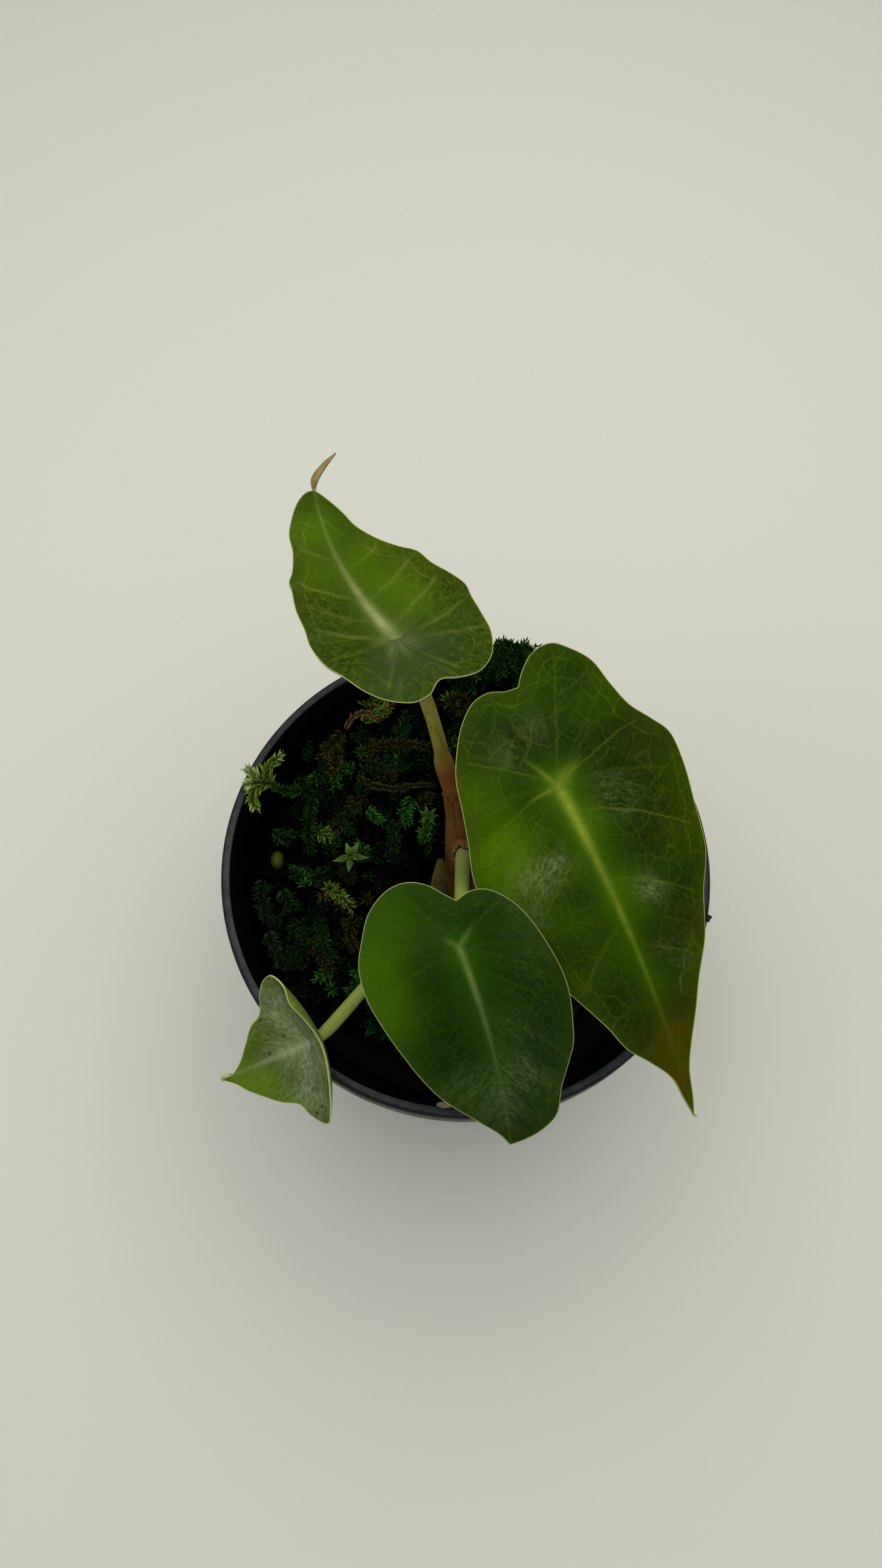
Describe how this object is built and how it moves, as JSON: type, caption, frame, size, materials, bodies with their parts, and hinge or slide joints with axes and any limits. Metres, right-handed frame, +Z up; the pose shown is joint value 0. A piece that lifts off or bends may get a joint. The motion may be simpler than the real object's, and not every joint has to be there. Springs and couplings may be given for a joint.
{
  "type": "potted scorpio alocasia",
  "caption": "Young aroid house plant with arrow-shaped green blades on thin petioles, standing in a round black nursery pot topped with live moss.",
  "frame": {"origin": "centre of the pot's flat underside", "axes": "+Z up, -Y towards the front of the plant, where the front blade points, +X to the side of the largest blade"},
  "size_m": [0.076, 0.0948, 0.1007],
  "materials": {
    "pot_black": "satin",
    "potting_mix": "matte",
    "corm": "matte",
    "moss_green": "matte",
    "moss_bright": "matte",
    "moss_olive": "matte",
    "moss_dead": "matte",
    "petiole_tan": "satin",
    "petiole_green": "satin",
    "sheath_papery": "matte",
    "cataphyll_dead": "matte",
    "leaf_back_green": "satin",
    "leaf_right_green": "satin",
    "leaf_front_green": "satin",
    "leaf_left_pale": "satin",
    "crumb_dark": "matte",
    "crumb_pale": "matte"
  },
  "bodies": {
    "root": {"pot": "pot_black", "potting_mix": "potting_mix", "rootstock": "corm", "moss_carpet": "moss_green", "moss_sprig_rim": "moss_bright", "moss_star_left": "moss_bright", "moss_tuft_middle": "moss_bright", "moss_head_olive": "moss_olive", "moss_clump_back": "moss_olive", "moss_capsule": "moss_olive", "moss_strand_tan": "moss_dead", "moss_strand_gold": "moss_olive", "moss_strand_olive": "moss_dead", "petiole_back": "petiole_tan", "petiole_right": "petiole_green", "petiole_front": "petiole_green", "petiole_left": "petiole_green", "crumb_right": "crumb_dark", "crumb_front": "crumb_pale", "sheath_back": "sheath_papery", "cataphyll_left": "cataphyll_dead", "leaf_back": "leaf_back_green", "leaf_right": "leaf_right_green", "leaf_front": "leaf_front_green", "leaf_left": "leaf_left_pale"}
  },
  "joints": []
}
